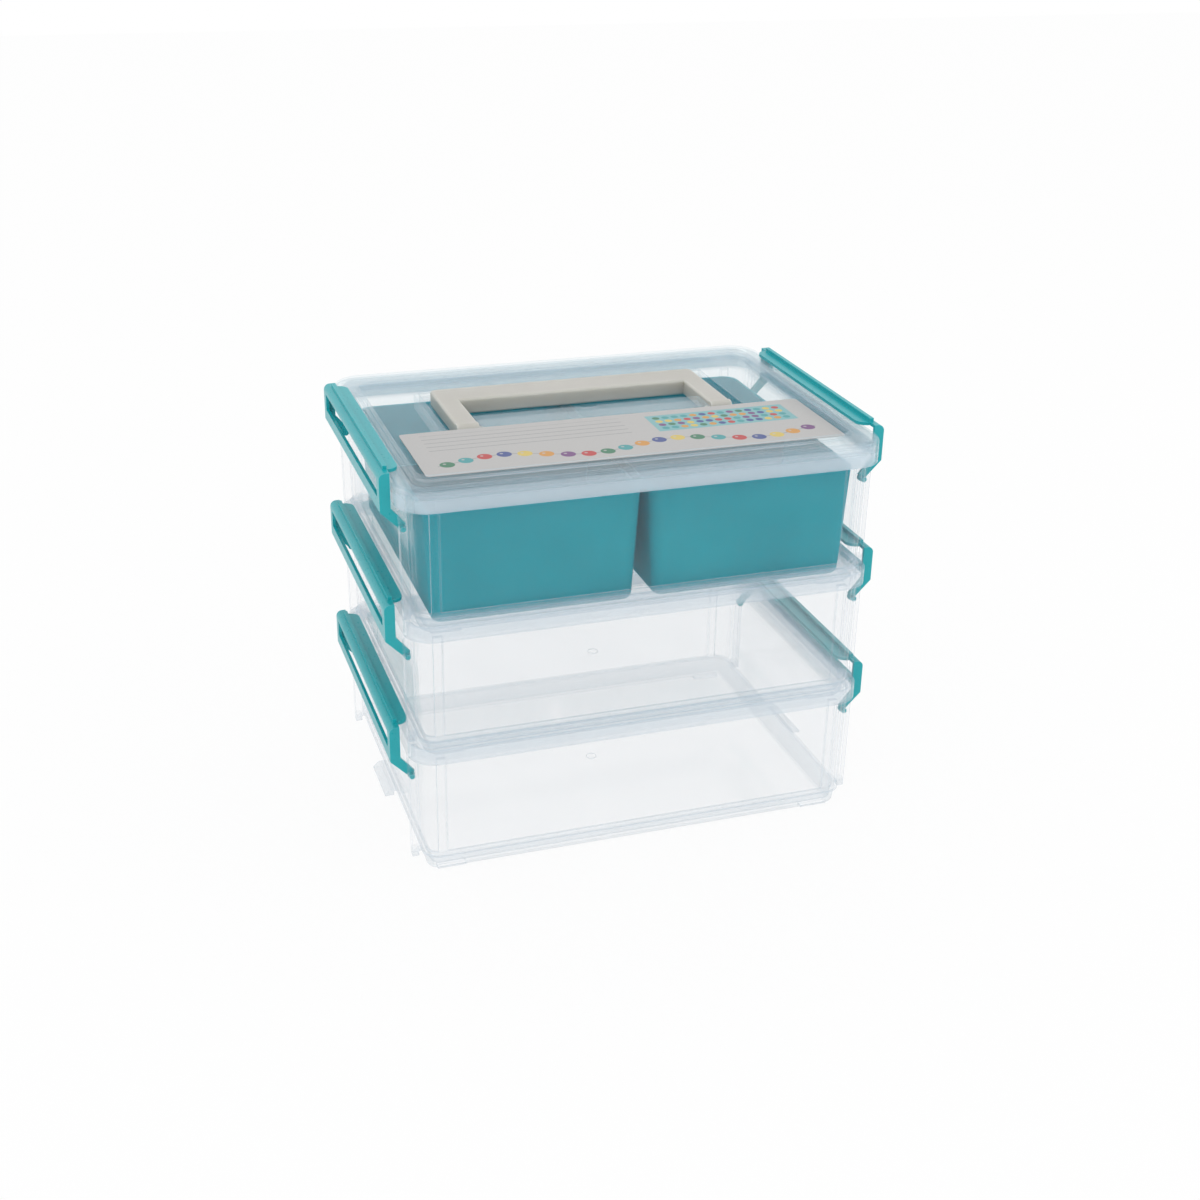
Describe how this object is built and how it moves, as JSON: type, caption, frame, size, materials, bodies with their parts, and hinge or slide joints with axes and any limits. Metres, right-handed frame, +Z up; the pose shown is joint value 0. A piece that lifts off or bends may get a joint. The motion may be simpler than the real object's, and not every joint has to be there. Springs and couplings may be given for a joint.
{
  "type": "bead storage box",
  "caption": "Stacking box in clear plastic with clip frames down both sides, lift-out trays, a card label and a fold-flat carry handle.",
  "frame": {"origin": "on the floor under the middle of the stack", "axes": "+X to the right along the long side, +Y to the back, +Z up"},
  "size_m": [0.277, 0.1948, 0.2305],
  "materials": {
    "clear_box": "clear, slightly milky polypropylene",
    "clear_lid": "clear, slightly milky polypropylene",
    "teal_clip": "translucent moulded plastic",
    "teal_tray": "satin moulded plastic",
    "cream_handle": "satin moulded plastic",
    "card": "coated card"
  },
  "bodies": {
    "bottom_box": {"bottom_box": "clear_box"},
    "middle_box": {"middle_box": "clear_box"},
    "top_box": {"top_box": "clear_box"},
    "lid": {"lid": "clear_lid", "lid_label": "card"},
    "carry_handle": {"carry_handle": "cream_handle"},
    "left_tray": {"left_tray": "teal_tray"},
    "right_tray": {"right_tray": "teal_tray"},
    "bottom_right_clip": {"bottom_right_clip": "teal_clip"},
    "bottom_left_clip": {"bottom_left_clip": "teal_clip"},
    "middle_right_clip": {"middle_right_clip": "teal_clip"},
    "middle_left_clip": {"middle_left_clip": "teal_clip"},
    "top_right_clip": {"top_right_clip": "teal_clip"},
    "top_left_clip": {"top_left_clip": "teal_clip"}
  },
  "joints": [
    {"name": "middle_box_lift", "type": "slide", "parent": "bottom_box", "child": "middle_box", "axis": [0, 0, 1], "range_m": [0, 0.1]},
    {"name": "top_box_lift", "type": "slide", "parent": "middle_box", "child": "top_box", "axis": [0, 0, 1], "range_m": [0, 0.1]},
    {"name": "lid_lift", "type": "slide", "parent": "top_box", "child": "lid", "axis": [0, 0, 1], "range_m": [0, 0.1]},
    {"name": "handle_swing", "type": "hinge", "parent": "lid", "child": "carry_handle", "pos_m": [0, 0, 0.2195], "axis": [1, 0, 0], "range_deg": [0, 90]},
    {"name": "bottom_right_clip_hinge", "type": "hinge", "parent": "bottom_box", "child": "bottom_right_clip", "pos_m": [0.1275, 0, 0.0562], "axis": [0, 1, 0], "range_deg": [0, 130.5]},
    {"name": "bottom_left_clip_hinge", "type": "hinge", "parent": "bottom_box", "child": "bottom_left_clip", "pos_m": [-0.1275, 0, 0.0562], "axis": [0, -1, 0], "range_deg": [0, 130.5]},
    {"name": "middle_right_clip_hinge", "type": "hinge", "parent": "middle_box", "child": "middle_right_clip", "pos_m": [0.1275, 0, 0.1276], "axis": [0, 1, 0], "range_deg": [0, 130.5]},
    {"name": "middle_left_clip_hinge", "type": "hinge", "parent": "middle_box", "child": "middle_left_clip", "pos_m": [-0.1275, 0, 0.1276], "axis": [0, -1, 0], "range_deg": [0, 130.5]},
    {"name": "top_right_clip_hinge", "type": "hinge", "parent": "top_box", "child": "top_right_clip", "pos_m": [0.1275, 0, 0.199], "axis": [0, 1, 0], "range_deg": [0, 130.5]},
    {"name": "top_left_clip_hinge", "type": "hinge", "parent": "top_box", "child": "top_left_clip", "pos_m": [-0.1275, 0, 0.199], "axis": [0, -1, 0], "range_deg": [0, 130.5]},
    {"name": "right_tray_lift", "type": "slide", "parent": "top_box", "child": "right_tray", "axis": [0, 0, 1], "range_m": [0, 0.0505]},
    {"name": "left_tray_lift", "type": "slide", "parent": "top_box", "child": "left_tray", "axis": [0, 0, 1], "range_m": [0, 0.0505]}
  ],
  "couplings": [
    {"joint": "bottom_right_clip_hinge", "follows": "middle_box_lift", "rad_per_m": 22.689},
    {"joint": "bottom_left_clip_hinge", "follows": "middle_box_lift", "rad_per_m": 22.689},
    {"joint": "middle_right_clip_hinge", "follows": "top_box_lift", "rad_per_m": 22.689},
    {"joint": "middle_left_clip_hinge", "follows": "top_box_lift", "rad_per_m": 22.689},
    {"joint": "top_right_clip_hinge", "follows": "lid_lift", "rad_per_m": 22.689},
    {"joint": "top_left_clip_hinge", "follows": "lid_lift", "rad_per_m": 22.689},
    {"joint": "right_tray_lift", "follows": "lid_lift", "ratio": 0.5},
    {"joint": "left_tray_lift", "follows": "lid_lift", "ratio": 0.5}
  ]
}
